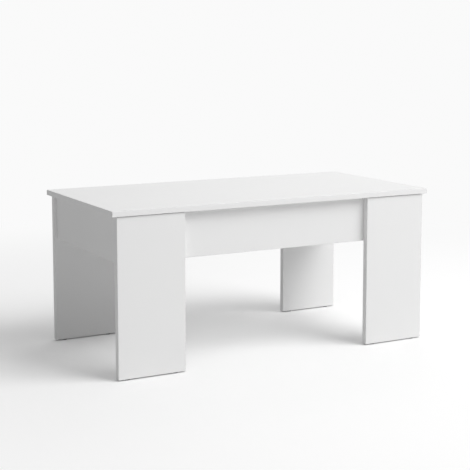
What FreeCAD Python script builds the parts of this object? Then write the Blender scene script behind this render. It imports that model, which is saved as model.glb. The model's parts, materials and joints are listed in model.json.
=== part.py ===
import FreeCAD, Part
import math
import os

# Lift top coffee table, in millimetres.
# The origin is on the floor at the middle of the footprint.
# X runs along the length, -Y is the front, where the user sits, and Z is up.
# "Inboard" means the distance from a side panel's inner face towards the middle of the table.

V = FreeCAD.Vector
SIDES = {"left": -1, "right": 1}
ENDS = {"front": -1, "rear": 1}

# Driving dimensions: overall
TOP_LENGTH = 1000.0
TOP_DEPTH = 500.0
HEIGHT = 450.0
TOP_THICK = 15.0
TOP_GAP = 1.5
OVERHANG_X = 14.0
OVERHANG_Y = 4.0
EDGE_RADIUS = 0.8

# Legs and glides
LEG_WIDTH = 195.0
LEG_THICK = 18.0
GLIDE_HEIGHT = 3.0
GLIDE_RADIUS = 7.0
GLIDE_NAIL_RADIUS = 1.2
GLIDE_NAIL_LENGTH = 14.0
GLIDE_INSET = 28.0

# Storage box
BOX_HEIGHT = 126.0
PANEL_THICK = 16.0
BOTTOM_THICK = 15.0
SIDE_INSET = 8.0

# Rubber bumpers under the closed top
BUMPER_RADIUS = 5.0
BUMPER_SETBACK = 60.0
BUMPER_CLEARANCE = 0.2

# Flat-pack fittings
CAM_RADIUS = 7.5
CAM_DEPTH = 12.8
CAM_SETBACK = 24.0
CAM_SLOT_WIDTH = 1.8
CAM_SLOT_LENGTH = 10.0
CAM_SLOT_DEPTH = 2.5
CAM_POCKET_RADIUS = 4.0
CAM_MARGIN = 26.0
BOLT_HEAD_RADIUS = 3.5
BOLT_RADIUS = 2.5
BOLT_SCREW_DEPTH = 11.0
BOLT_HEAD_LENGTH = 5.0
DOWEL_RADIUS = 4.0
DOWEL_LENGTH = 28.0
DOWEL_DEPTH = 10.0
BOTTOM_CAMS = 3
FIT_CLEARANCE = 0.1

# Screws
SCREW_RADIUS = 2.0
SCREW_HEAD_RADIUS = 4.2
SCREW_HEAD_HEIGHT = 2.2
DRIVE_SLOT_DEPTH = 1.2
DRIVE_SLOT_LENGTH = 5.0
DRIVE_SLOT_WIDTH = 1.0
LEG_SCREW_LENGTH = 28.0
LEG_SCREW_MARGIN = 32.0
LEG_SCREW_EDGE = 36.0
BRACKET_SCREW_LENGTH = 13.0
TOP_SCREW_LENGTH = 12.0

# Lift mechanism
ARM_LENGTH = 170.0
ARM_WIDTH = 22.0
ARM_THICK = 4.0
ARM_REST_ANGLE = 8.0
PIVOT_SPACING = 100.0
PIVOT_STEP = 24.0
PIVOT_DROP = 14.0
REAR_SETBACK = 42.0
PIVOT_RADIUS = 4.0
PIVOT_CLEARANCE = 0.1
UPPER_PIVOT_CLEARANCE = 0.3
PIVOT_FACE_CLEARANCE = 0.2
WASHER_THICK = 1.0
WASHER_RADIUS = 9.0
PIN_HEAD_RADIUS = 7.0
PIN_HEAD_HEIGHT = 2.5
PIN_TAIL_RADIUS = 6.0
PIN_TAIL_HEIGHT = 1.5
PIN_OUTER_HEAD = 1.8
BASE_BRACKET_THICK = 2.0
BASE_BRACKET_STRIP = 22.0
BASE_BRACKET_EAR = 13.0
BASE_BRACKET_FRONT = 24.0
BASE_BRACKET_REAR = 10.0
TOP_BRACKET_THICK = 2.5
TOP_BRACKET_FLANGE = 30.0
TOP_BRACKET_FRONT = 35.0
TOP_BRACKET_REAR = 30.0
TOP_BRACKET_BOSS = 12.0
TOP_BRACKET_LIP = 9.0

# Lift springs
LEVER_RADIUS = 18.0
LEVER_ANGLE = 50.0
LEVER_EAR = 6.0
SPRING_PIN_RADIUS = 2.5
SPRING_PIN_HEAD = 4.5
SPRING_PIN_HEAD_HEIGHT = 1.5
SPRING_REACH = 98.0
SPRING_RADIUS = 6.0
SPRING_WIRE = 1.6
SPRING_LOOP_RADIUS = 4.2
SPRING_INBOARD = 19.0

# Derived places: boards
HALF_LENGTH = TOP_LENGTH / 2
HALF_DEPTH = TOP_DEPTH / 2
TOP_UNDERSIDE = HEIGHT - TOP_THICK
FRAME_TOP = TOP_UNDERSIDE - TOP_GAP
BOX_BOTTOM = FRAME_TOP - BOX_HEIGHT
BOX_FLOOR = BOX_BOTTOM + BOTTOM_THICK
LEG_OUTER_X = HALF_LENGTH - OVERHANG_X
LEG_INNER_X = LEG_OUTER_X - LEG_WIDTH
LEG_OUTER_Y = HALF_DEPTH - OVERHANG_Y
APRON_OUTER_Y = LEG_OUTER_Y - LEG_THICK
APRON_INNER_Y = APRON_OUTER_Y - PANEL_THICK
SIDE_OUTER_X = LEG_OUTER_X - SIDE_INSET
SIDE_INNER_X = SIDE_OUTER_X - PANEL_THICK

# Derived places: lift mechanism, as (y, z) pivots with the top closed
REST = math.radians(ARM_REST_ANGLE)
ARM_Y = ARM_LENGTH * math.cos(REST)
ARM_Z = ARM_LENGTH * math.sin(REST)
UPPER_FRONT = (APRON_INNER_Y - REAR_SETBACK - PIVOT_SPACING, TOP_UNDERSIDE - PIVOT_DROP)
UPPER_REAR = (UPPER_FRONT[0] + PIVOT_SPACING, UPPER_FRONT[1] - PIVOT_STEP)
LOWER_FRONT = (UPPER_FRONT[0] - ARM_Y, UPPER_FRONT[1] - ARM_Z)
LOWER_REAR = (UPPER_REAR[0] - ARM_Y, UPPER_REAR[1] - ARM_Z)
LEVER = math.radians(LEVER_ANGLE)
LEVER_END = (
    LOWER_REAR[0] - LEVER_RADIUS * math.sin(LEVER),
    LOWER_REAR[1] - LEVER_RADIUS * math.cos(LEVER),
)
SPRING_ANCHOR = (LOWER_REAR[0] + SPRING_REACH, LEVER_END[1])

# Derived places: layers of the mechanism, as distances inboard
ARM_IN = BASE_BRACKET_THICK + WASHER_THICK + PIVOT_FACE_CLEARANCE
ARM_OUT = ARM_IN + ARM_THICK
UPPER_WASHER_IN = ARM_OUT + PIVOT_FACE_CLEARANCE
TOP_PLATE_IN = UPPER_WASHER_IN + WASHER_THICK
TOP_PLATE_OUT = TOP_PLATE_IN + TOP_BRACKET_THICK
SPRING_PIN_END = SPRING_INBOARD + SPRING_WIRE + FIT_CLEARANCE


# ---------------------------------------------------------------- shapes
def block(x0, x1, y0, y1, z0, z1):
    """A box between two values on each axis, given in any order."""
    x0, x1 = min(x0, x1), max(x0, x1)
    y0, y1 = min(y0, y1), max(y0, y1)
    z0, z1 = min(z0, z1), max(z0, z1)
    return Part.makeBox(x1 - x0, y1 - y0, z1 - z0, V(x0, y0, z0))


def board(x0, x1, y0, y1, z0, z1):
    """A furniture board with softened edges."""
    solid = block(x0, x1, y0, y1, z0, z1)
    return solid.makeFillet(EDGE_RADIUS, solid.Edges)


def rod(start, direction, radius, length):
    """A round bar from a start point along a direction."""
    return Part.makeCylinder(radius, length, V(*start), V(*direction))


def across(side, near, far, place, radius):
    """A round bar along X between two distances inboard, at a (y, z) place."""
    start = (side * (SIDE_INNER_X - near), place[0], place[1])
    return rod(start, (-side, 0, 0), radius, far - near)


def plate(side, near, far, outline):
    """A plate square to X between two distances inboard, from (y, z) corners."""
    x = side * (SIDE_INNER_X - near)
    corners = [V(x, y, z) for y, z in outline]
    face = Part.Face(Part.makePolygon(corners + corners[:1]))
    return face.extrude(V(side * (near - far), 0, 0))


def link(side, near, far, start, end, start_radius, end_radius):
    """A flat bar with rounded ends between two (y, z) places."""
    angle = math.atan2(end[1] - start[1], end[0] - start[0])
    along = math.hypot(end[0] - start[0], end[1] - start[1])
    lean = math.acos((start_radius - end_radius) / along)
    outline = []
    for place, radius, turn in (
        (start, start_radius, lean),
        (start, start_radius, -lean),
        (end, end_radius, -lean),
        (end, end_radius, lean),
    ):
        y = place[0] + radius * math.cos(angle + turn)
        z = place[1] + radius * math.sin(angle + turn)
        outline.append((y, z))
    bar = plate(side, near, far, outline)
    for place, radius in ((start, start_radius), (end, end_radius)):
        bar = bar.fuse(across(side, near, far, place, radius))
    return bar.removeSplitter()


def bore(solid, tools):
    """Cut every tool out of a solid."""
    for tool in tools:
        solid = solid.cut(tool)
    return solid


def pan_screw(head_face, direction, length):
    """A cross-head screw whose head stands on a face and whose shank runs along a direction."""
    axis = V(*direction)
    face = V(*head_face)
    shank = Part.makeCylinder(SCREW_RADIUS, length, face, axis)
    head = Part.makeCylinder(SCREW_HEAD_RADIUS, SCREW_HEAD_HEIGHT, face, axis * -1)
    slots = []
    for turn in (0, 90):
        slot = Part.makeBox(
            DRIVE_SLOT_LENGTH,
            DRIVE_SLOT_WIDTH,
            DRIVE_SLOT_DEPTH,
            V(-DRIVE_SLOT_LENGTH / 2, -DRIVE_SLOT_WIDTH / 2, SCREW_HEAD_HEIGHT - DRIVE_SLOT_DEPTH),
        )
        slot.rotate(V(0, 0, 0), V(0, 0, 1), turn)
        slot.Placement = FreeCAD.Placement(
            face, FreeCAD.Rotation(V(0, 0, 1), axis * -1)
        ).multiply(slot.Placement)
        slots.append(slot)
    return bore(head.fuse(shank).removeSplitter(), slots)


def screw_hole(head_face, direction, length):
    """The hole for a pan screw, slightly wider and deeper than its shank."""
    return rod(head_face, direction, SCREW_RADIUS + FIT_CLEARANCE, length + FIT_CLEARANCE)


# ---------------------------------------------------------------- where the fittings are
def leg_screw_places():
    """Head face and direction of each screw that holds a leg, from inside the box."""
    places = []
    for side in SIDES.values():
        for end in ENDS.values():
            for x in (LEG_OUTER_X - SIDE_INSET - LEG_SCREW_EDGE, LEG_INNER_X + LEG_SCREW_MARGIN):
                for z in (BOX_FLOOR + LEG_SCREW_MARGIN, FRAME_TOP - LEG_SCREW_MARGIN):
                    places.append(((side * x, end * APRON_INNER_Y, z), (0, end, 0)))
    return places


def corner_cam_heights():
    """Heights of the two cam bolts in each corner of the box."""
    return (BOX_BOTTOM + CAM_MARGIN, FRAME_TOP - CAM_MARGIN)


def cam_places():
    """Each cam as (open face centre, direction into the board, direction to the bolt)."""
    places = []
    for side in SIDES.values():
        for end in ENDS.values():
            for z in corner_cam_heights():
                y = end * (APRON_INNER_Y - CAM_SETBACK)
                places.append(((side * SIDE_INNER_X, y, z), (side, 0, 0), (0, end, 0)))
    for end in ENDS.values():
        for index in range(BOTTOM_CAMS):
            x = (index - (BOTTOM_CAMS - 1) / 2) * 2 * SIDE_INNER_X / BOTTOM_CAMS
            y = end * (APRON_INNER_Y - CAM_SETBACK)
            places.append(((x, y, BOX_BOTTOM), (0, 0, 1), (0, end, 0)))
    return places


def bolt_axis_start(cam):
    """The end of a cam bolt's head, inside its cam."""
    face, inward, towards = (V(*item) for item in cam)
    depth = (PANEL_THICK if abs(inward.x) > 0 else BOTTOM_THICK) / 2
    return face + inward * depth, towards


def dowel_places():
    """Middle of each dowel's seam, with its direction."""
    places = []
    for end in ENDS.values():
        for side in SIDES.values():
            x = side * (SIDE_INNER_X + PANEL_THICK / 2)
            places.append((x, end * APRON_INNER_Y, (BOX_BOTTOM + FRAME_TOP) / 2, end))
        for side in SIDES.values():
            x = side * SIDE_INNER_X / BOTTOM_CAMS
            places.append((x, end * APRON_INNER_Y, BOX_BOTTOM + BOTTOM_THICK / 2, end))
    return places


def base_screw_places():
    """The (y, z) places of the screws in a base bracket."""
    return (
        (LOWER_FRONT[0] - BASE_BRACKET_FRONT / 2, SPRING_ANCHOR[1]),
        (LOWER_FRONT[0] + 2 * BASE_BRACKET_STRIP, SPRING_ANCHOR[1]),
        (LOWER_REAR[0] + 2 * BASE_BRACKET_STRIP, SPRING_ANCHOR[1]),
        (LOWER_FRONT[0], LOWER_FRONT[1] - BASE_BRACKET_STRIP),
    )


def top_screw_places():
    """The y places of the screws in a top bracket's flange, spread evenly."""
    first = UPPER_FRONT[0] - TOP_BRACKET_FRONT + TOP_BRACKET_BOSS
    last = UPPER_REAR[0] + TOP_BRACKET_REAR - TOP_BRACKET_BOSS
    return [first + (last - first) * index / 3 for index in range(4)]


def top_screw_x(side):
    """The x place of the screws in a top bracket's flange."""
    return side * (SIDE_INNER_X - TOP_PLATE_OUT - TOP_BRACKET_FLANGE / 2)


def glide_places():
    """The (x, y) places of the glides, two under each leg."""
    places = []
    for side in SIDES.values():
        for end in ENDS.values():
            for x in (LEG_OUTER_X - GLIDE_INSET, LEG_INNER_X + GLIDE_INSET):
                places.append((side * x, end * (LEG_OUTER_Y - LEG_THICK / 2)))
    return places


# ---------------------------------------------------------------- boards
def top_board():
    """The table top, with pilot holes for the lift brackets."""
    solid = board(-HALF_LENGTH, HALF_LENGTH, -HALF_DEPTH, HALF_DEPTH, TOP_UNDERSIDE, HEIGHT)
    depth = TOP_SCREW_LENGTH - TOP_BRACKET_THICK
    holes = []
    for side in SIDES.values():
        for y in top_screw_places():
            holes.append(screw_hole((top_screw_x(side), y, TOP_UNDERSIDE), (0, 0, 1), depth))
    return bore(solid, holes)


def leg(side, end):
    """A flat slab leg, with holes for its screws and glide nails."""
    y = end * LEG_OUTER_Y
    inner = end * APRON_OUTER_Y
    solid = board(side * LEG_OUTER_X, side * LEG_INNER_X, y, inner, GLIDE_HEIGHT, FRAME_TOP)
    holes = []
    for face, direction in leg_screw_places():
        if face[0] * side > 0 and direction[1] == end:
            holes.append(screw_hole(face, direction, LEG_SCREW_LENGTH))
    for x, place_y in glide_places():
        if x * side > 0 and place_y * end > 0:
            start = (x, place_y, GLIDE_HEIGHT)
            holes.append(
                rod(start, (0, 0, 1), GLIDE_NAIL_RADIUS + FIT_CLEARANCE, GLIDE_NAIL_LENGTH)
            )
    return bore(solid, holes)


def bolt_holes():
    """The bores of the cam bolts, and of the dowels, in every board."""
    holes = []
    for cam in cam_places():
        start, towards = bolt_axis_start(cam)
        length = CAM_SETBACK + BOLT_SCREW_DEPTH + FIT_CLEARANCE
        shaft = BOLT_RADIUS + FIT_CLEARANCE
        holes.append(Part.makeCylinder(shaft, length, start, towards))
    for x, y, z, end in dowel_places():
        start = (x, y - end * (DOWEL_LENGTH - DOWEL_DEPTH + FIT_CLEARANCE), z)
        length = DOWEL_LENGTH + 2 * FIT_CLEARANCE
        holes.append(rod(start, (0, end, 0), DOWEL_RADIUS + FIT_CLEARANCE, length))
    return holes


def cam_holes():
    """The round pockets of the cams."""
    holes = []
    for face, inward, _ in cam_places():
        holes.append(rod(face, inward, CAM_RADIUS + FIT_CLEARANCE, CAM_DEPTH + FIT_CLEARANCE))
    return holes


def apron(end):
    """A long board of the box, to which two legs are screwed."""
    y = end * APRON_OUTER_Y
    inner = end * APRON_INNER_Y
    solid = board(-SIDE_OUTER_X, SIDE_OUTER_X, y, inner, BOX_BOTTOM, FRAME_TOP)
    holes = bolt_holes()
    for face, direction in leg_screw_places():
        holes.append(screw_hole(face, direction, LEG_SCREW_LENGTH))
    return bore(solid, holes)


def side_panel(side):
    """An end board of the box, between the two aprons."""
    x = side * SIDE_OUTER_X
    inner = side * SIDE_INNER_X
    solid = board(x, inner, -APRON_INNER_Y, APRON_INNER_Y, BOX_BOTTOM, FRAME_TOP)
    depth = BRACKET_SCREW_LENGTH - BASE_BRACKET_THICK
    holes = bolt_holes() + cam_holes()
    for y, z in base_screw_places():
        holes.append(screw_hole((inner, y, z), (side, 0, 0), depth))
    return bore(solid, holes)


def bottom_panel():
    """The floor of the box, between the aprons and the side panels."""
    solid = board(
        -SIDE_INNER_X, SIDE_INNER_X, -APRON_INNER_Y, APRON_INNER_Y, BOX_BOTTOM, BOX_FLOOR
    )
    return bore(solid, bolt_holes() + cam_holes())


# ---------------------------------------------------------------- small fittings
def leg_glides():
    """Plastic nail-in glides under the legs."""
    glides = []
    for x, y in glide_places():
        foot = rod((x, y, 0), (0, 0, 1), GLIDE_RADIUS, GLIDE_HEIGHT)
        foot = foot.makeFillet(EDGE_RADIUS, [foot.Edges[2]])
        nail = rod((x, y, GLIDE_HEIGHT), (0, 0, 1), GLIDE_NAIL_RADIUS, GLIDE_NAIL_LENGTH)
        glides.append(foot.fuse(nail))
    return glides


def top_bumpers():
    """Rubber bumpers on the box's long edges, on which the closed top lies."""
    height = TOP_GAP - BUMPER_CLEARANCE
    bumpers = []
    for side in SIDES.values():
        for end in ENDS.values():
            x = side * (SIDE_INNER_X - BUMPER_SETBACK)
            y = end * (APRON_INNER_Y + PANEL_THICK / 2)
            pad = rod((x, y, FRAME_TOP), (0, 0, 1), BUMPER_RADIUS, height)
            bumpers.append(pad.makeFillet(EDGE_RADIUS, [pad.Edges[0]]))
    return bumpers


def cam_locks():
    """Turning cam nuts, each with a cross slot and a pocket for its bolt's head."""
    cams = []
    for cam in cam_places():
        face, inward, towards = (V(*item) for item in cam)
        solid = Part.makeCylinder(CAM_RADIUS, CAM_DEPTH, face, inward)
        start, _ = bolt_axis_start(cam)
        pocket = Part.makeCylinder(
            CAM_POCKET_RADIUS, CAM_RADIUS + BOLT_HEAD_LENGTH, start - towards * BOLT_HEAD_LENGTH, towards
        )
        across_slot = inward.cross(towards)
        slots = []
        for along, wide in ((towards, across_slot), (across_slot, towards)):
            corner = face - along * (CAM_SLOT_LENGTH / 2) - wide * (CAM_SLOT_WIDTH / 2)
            slots.append(slab(corner, along * CAM_SLOT_LENGTH, wide * CAM_SLOT_WIDTH, inward))
        cams.append(bore(solid, [pocket] + slots))
    return cams


def slab(corner, first, second, inward):
    """A shallow box cut from two edge vectors and the cam slot's depth."""
    points = [corner, corner + first, corner + first + second, corner + second, corner]
    return Part.Face(Part.makePolygon(points)).extrude(inward * CAM_SLOT_DEPTH)


def cam_bolts():
    """Bolts from the aprons into the cams."""
    bolts = []
    for cam in cam_places():
        start, towards = bolt_axis_start(cam)
        shaft = Part.makeCylinder(BOLT_RADIUS, CAM_SETBACK + BOLT_SCREW_DEPTH, start, towards)
        head = Part.makeCylinder(
            BOLT_HEAD_RADIUS, BOLT_HEAD_LENGTH / 2, start - towards * (BOLT_HEAD_LENGTH / 2), towards
        )
        bolts.append(shaft.fuse(head).removeSplitter())
    return bolts


def dowels():
    """Beech dowels that line the boards up."""
    pegs = []
    for x, y, z, end in dowel_places():
        start = (x, y - end * (DOWEL_LENGTH - DOWEL_DEPTH), z)
        peg = rod(start, (0, end, 0), DOWEL_RADIUS, DOWEL_LENGTH)
        pegs.append(peg.makeChamfer(EDGE_RADIUS, [peg.Edges[0], peg.Edges[2]]))
    return pegs


def leg_screws():
    """Screws through the aprons into the legs."""
    return [pan_screw(face, way, LEG_SCREW_LENGTH) for face, way in leg_screw_places()]


# ---------------------------------------------------------------- lift mechanism
def base_bracket(side):
    """The stamped plate screwed to a side panel, with two pivot ears and a spring tail."""
    height = SPRING_ANCHOR[1]
    front = (LOWER_FRONT[0] - BASE_BRACKET_FRONT + BASE_BRACKET_STRIP / 2, height)
    rear = (SPRING_ANCHOR[0] + BASE_BRACKET_REAR - BASE_BRACKET_STRIP / 2, height)
    half = BASE_BRACKET_STRIP / 2
    solid = link(side, 0, BASE_BRACKET_THICK, front, rear, half, half)
    for pivot in (LOWER_FRONT, LOWER_REAR):
        foot = (pivot[0], height - 0.01)
        ear = BASE_BRACKET_EAR if pivot == LOWER_FRONT else half
        if pivot[1] - foot[1] > half / 2:
            solid = solid.fuse(link(side, 0, BASE_BRACKET_THICK, pivot, foot, ear, half))
    solid = solid.removeSplitter()
    holes = []
    for pivot in (LOWER_FRONT, LOWER_REAR):
        holes.append(
            across(side, 0, BASE_BRACKET_THICK, pivot, PIVOT_RADIUS + FIT_CLEARANCE)
        )
    holes.append(
        across(side, 0, BASE_BRACKET_THICK, SPRING_ANCHOR, SPRING_PIN_RADIUS + FIT_CLEARANCE)
    )
    for place in base_screw_places():
        holes.append(across(side, 0, BASE_BRACKET_THICK, place, SCREW_RADIUS + FIT_CLEARANCE))
    return bore(solid, holes)


def arm(side, lower, upper, lever_end):
    """A lift arm, with a short spring lever when lever_end is given."""
    half = ARM_WIDTH / 2
    solid = link(side, ARM_IN, ARM_OUT, lower, upper, half, half)
    holes = []
    for pivot, clearance in ((lower, PIVOT_CLEARANCE), (upper, UPPER_PIVOT_CLEARANCE)):
        holes.append(across(side, ARM_IN, ARM_OUT, pivot, PIVOT_RADIUS + clearance))
    if lever_end:
        lever = link(side, ARM_IN, ARM_OUT, lower, lever_end, half, LEVER_EAR)
        solid = solid.fuse(lever).removeSplitter()
        holes.append(
            across(side, ARM_IN, ARM_OUT, lever_end, SPRING_PIN_RADIUS + FIT_CLEARANCE)
        )
    return bore(solid, holes)


def top_bracket(side):
    """The bent plate under the top, with a hanging side that carries the upper pivots."""
    front = UPPER_FRONT[0] - TOP_BRACKET_FRONT
    rear = UPPER_REAR[0] + TOP_BRACKET_REAR
    boss = TOP_BRACKET_BOSS
    outline = (
        (front, TOP_UNDERSIDE),
        (rear, TOP_UNDERSIDE),
        (rear, TOP_UNDERSIDE - TOP_BRACKET_LIP),
        (UPPER_REAR[0] + boss, UPPER_REAR[1]),
        (UPPER_REAR[0] - boss, UPPER_REAR[1]),
        (UPPER_FRONT[0], UPPER_FRONT[1] - boss),
        (UPPER_FRONT[0] - boss, UPPER_FRONT[1]),
        (front, TOP_UNDERSIDE - TOP_BRACKET_LIP),
    )
    solid = plate(side, TOP_PLATE_IN, TOP_PLATE_OUT, outline)
    for pivot in (UPPER_FRONT, UPPER_REAR):
        solid = solid.fuse(across(side, TOP_PLATE_IN, TOP_PLATE_OUT, pivot, boss))
    flange = block(
        side * (SIDE_INNER_X - TOP_PLATE_IN),
        side * (SIDE_INNER_X - TOP_PLATE_OUT - TOP_BRACKET_FLANGE),
        front,
        rear,
        TOP_UNDERSIDE - TOP_BRACKET_THICK,
        TOP_UNDERSIDE,
    )
    solid = solid.fuse(flange).removeSplitter()
    holes = []
    for pivot in (UPPER_FRONT, UPPER_REAR):
        holes.append(
            across(side, TOP_PLATE_IN, TOP_PLATE_OUT, pivot, PIVOT_RADIUS + FIT_CLEARANCE)
        )
    for y in top_screw_places():
        start = (top_screw_x(side), y, TOP_UNDERSIDE - TOP_BRACKET_THICK)
        holes.append(screw_hole(start, (0, 0, 1), TOP_BRACKET_THICK))
    return bore(solid, holes)


def base_pivot_pins():
    """Shouldered pins that carry the arms on the base brackets."""
    pins = []
    for side in SIDES.values():
        for pivot in (LOWER_FRONT, LOWER_REAR):
            head_at = ARM_OUT + PIVOT_FACE_CLEARANCE
            shank = across(side, 0, head_at, pivot, PIVOT_RADIUS)
            head = across(side, head_at, head_at + PIN_HEAD_HEIGHT, pivot, PIN_HEAD_RADIUS)
            pins.append(shank.fuse(head).removeSplitter())
    return pins


def top_pivot_pins():
    """Shouldered pins that hang the top brackets on the arms."""
    pins = []
    for side in SIDES.values():
        for pivot in (UPPER_FRONT, UPPER_REAR):
            head_at = ARM_IN - PIVOT_FACE_CLEARANCE
            head = across(side, head_at - PIN_OUTER_HEAD, head_at, pivot, PIN_HEAD_RADIUS)
            shank = across(side, head_at, TOP_PLATE_OUT, pivot, PIVOT_RADIUS)
            tail_end = TOP_PLATE_OUT + PIN_TAIL_HEIGHT
            tail = across(side, TOP_PLATE_OUT, tail_end, pivot, PIN_TAIL_RADIUS)
            pins.append(head.fuse([shank, tail]).removeSplitter())
    return pins


def washers(pivots, near):
    """Nylon washers on a set of pivots, from a distance inboard."""
    rings = []
    for side in SIDES.values():
        for pivot in pivots:
            ring = across(side, near, near + WASHER_THICK, pivot, WASHER_RADIUS)
            hole = across(side, near, near + WASHER_THICK, pivot, PIVOT_RADIUS + FIT_CLEARANCE)
            rings.append(ring.cut(hole))
    return rings


def spring_pin(side, near, place):
    """A headed pin that a spring's end loop hangs on."""
    shank = across(side, near, SPRING_PIN_END, place, SPRING_PIN_RADIUS)
    head_end = SPRING_PIN_END + SPRING_PIN_HEAD_HEIGHT
    head = across(side, SPRING_PIN_END, head_end, place, SPRING_PIN_HEAD)
    return shank.fuse(head).removeSplitter()


def spring(side):
    """A tension spring: a close-wound barrel with a loop at each end."""
    x = side * (SIDE_INNER_X - SPRING_INBOARD)
    z = SPRING_ANCHOR[1]
    slack = SPRING_LOOP_RADIUS - SPRING_WIRE / 2 - SPRING_PIN_RADIUS - FIT_CLEARANCE
    loops = (LEVER_END[0] + slack, SPRING_ANCHOR[0] - slack)
    start = loops[0] + SPRING_LOOP_RADIUS
    end = loops[1] - SPRING_LOOP_RADIUS
    barrel = rod((x, start, z), (0, 1, 0), SPRING_RADIUS, end - start)
    hollow = rod((x, start, z), (0, 1, 0), SPRING_RADIUS - SPRING_WIRE, end - start)
    solid = barrel.cut(hollow)
    for y, toward in ((start, 1), (end, -1)):
        solid = solid.fuse(rod((x, y, z), (0, toward, 0), SPRING_RADIUS - SPRING_WIRE / 2, SPRING_WIRE))
    for y in loops:
        ring = Part.makeTorus(SPRING_LOOP_RADIUS, SPRING_WIRE / 2, V(x, y, z), V(1, 0, 0))
        solid = solid.fuse(ring)
    return solid


def sub_parts():
    """Every node of the table, by name."""
    nodes = {"top_board": top_board()}
    for end_name, end in ENDS.items():
        nodes[f"{end_name}_apron"] = apron(end)
        for side_name, side in SIDES.items():
            nodes[f"{side_name}_{end_name}_leg"] = leg(side, end)
    nodes["bottom_panel"] = bottom_panel()
    nodes["leg_glides"] = leg_glides()
    nodes["top_bumpers"] = top_bumpers()
    nodes["cam_locks"] = cam_locks()
    nodes["cam_bolts"] = cam_bolts()
    nodes["dowels"] = dowels()
    nodes["leg_screws"] = leg_screws()
    for side_name, side in SIDES.items():
        nodes[f"{side_name}_side_panel"] = side_panel(side)
        nodes[f"{side_name}_base_bracket"] = base_bracket(side)
        nodes[f"{side_name}_front_arm"] = arm(side, LOWER_FRONT, UPPER_FRONT, None)
        nodes[f"{side_name}_rear_arm"] = arm(side, LOWER_REAR, UPPER_REAR, LEVER_END)
        nodes[f"{side_name}_top_bracket"] = top_bracket(side)
        nodes[f"{side_name}_arm_spring_pin"] = spring_pin(side, ARM_IN, LEVER_END)
        nodes[f"{side_name}_spring"] = spring(side)
    nodes["base_spring_pins"] = [spring_pin(side, 0, SPRING_ANCHOR) for side in SIDES.values()]
    nodes["base_pivot_pins"] = base_pivot_pins()
    nodes["top_pivot_pins"] = top_pivot_pins()
    nodes["base_pivot_washers"] = washers((LOWER_FRONT, LOWER_REAR), BASE_BRACKET_THICK)
    nodes["top_pivot_washers"] = washers((UPPER_FRONT, UPPER_REAR), UPPER_WASHER_IN)
    nodes["base_bracket_screws"] = [
        pan_screw(
            (side * (SIDE_INNER_X - BASE_BRACKET_THICK), y, z), (side, 0, 0), BRACKET_SCREW_LENGTH
        )
        for side in SIDES.values()
        for y, z in base_screw_places()
    ]
    nodes["top_bracket_screws"] = [
        pan_screw(
            (top_screw_x(side), y, TOP_UNDERSIDE - TOP_BRACKET_THICK), (0, 0, 1), TOP_SCREW_LENGTH
        )
        for side in SIDES.values()
        for y in top_screw_places()
    ]
    return nodes


def main():
    """Write one STEP file for each node."""
    os.makedirs("parts", exist_ok=True)
    for name, shape in sub_parts().items():
        if isinstance(shape, list):
            shape = Part.makeCompound(shape)
        solids = len(shape.Solids)
        print(f"{name}: {solids} solid(s), volume {shape.Volume:.0f}, valid {shape.isValid()}")
        shape.exportStep(f"parts/{name}.step")


main()
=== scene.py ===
"""The looks of a lift top coffee table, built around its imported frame.

Every length is in metres, in the frame's own axes: X along the length, -Y to the
front, where the user sits, and Z up from the floor.
"""

from __future__ import annotations

import json
import logging
import math
from collections.abc import Callable
from dataclasses import dataclass
from enum import Enum

import bmesh
import bpy
import numpy as np
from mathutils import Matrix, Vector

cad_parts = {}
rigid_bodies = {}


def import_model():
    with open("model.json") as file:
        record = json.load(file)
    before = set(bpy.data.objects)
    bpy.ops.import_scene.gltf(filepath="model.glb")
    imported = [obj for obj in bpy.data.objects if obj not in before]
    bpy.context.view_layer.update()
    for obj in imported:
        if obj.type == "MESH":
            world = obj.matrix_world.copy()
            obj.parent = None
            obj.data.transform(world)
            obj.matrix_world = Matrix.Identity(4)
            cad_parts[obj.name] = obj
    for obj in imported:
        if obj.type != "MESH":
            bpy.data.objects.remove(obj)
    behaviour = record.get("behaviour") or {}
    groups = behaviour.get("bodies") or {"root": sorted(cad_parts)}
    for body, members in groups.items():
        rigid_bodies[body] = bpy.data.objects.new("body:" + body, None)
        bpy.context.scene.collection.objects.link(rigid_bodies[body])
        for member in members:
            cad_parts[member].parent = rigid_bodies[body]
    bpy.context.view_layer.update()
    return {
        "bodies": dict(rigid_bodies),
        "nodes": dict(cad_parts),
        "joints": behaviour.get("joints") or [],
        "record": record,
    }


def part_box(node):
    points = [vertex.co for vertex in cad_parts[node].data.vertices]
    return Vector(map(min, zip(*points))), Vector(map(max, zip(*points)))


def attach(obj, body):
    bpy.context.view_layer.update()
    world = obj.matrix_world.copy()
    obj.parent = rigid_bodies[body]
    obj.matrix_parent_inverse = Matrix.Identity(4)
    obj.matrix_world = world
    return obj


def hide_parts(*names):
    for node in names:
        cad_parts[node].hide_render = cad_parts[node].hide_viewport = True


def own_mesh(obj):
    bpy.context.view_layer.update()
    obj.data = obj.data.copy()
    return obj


LOG = logging.getLogger("coffee_table")
MM = 0.001
NOISE_LOW, NOISE_HIGH = 0.3, 0.7  # most of a noise lies between
SAME_POINT = 1e-7
SAME_CAD_POINT = 1e-6
X_AXIS = np.array([1.0, 0.0, 0.0])
Z_AXIS = np.array([0.0, 0.0, 1.0])
FLAT_ANGLE = math.radians(2)
SHARP_ANGLE = math.radians(40)


class Side(Enum):
    """The two ends of the table, each with its direction along X."""

    LEFT = -1
    RIGHT = 1

    @property
    def word(self) -> str:
        """The side's name as the nodes spell it."""
        return self.name.lower()


class Slot(Enum):
    """The record's material slots, one passed along with each new piece."""

    BOARD = "white_board"
    STEEL = "black_steel"
    ZINC = "zinc_steel"
    GLIDE = "grey_glide"
    RUBBER = "grey_rubber"
    NYLON = "nylon"


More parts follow.
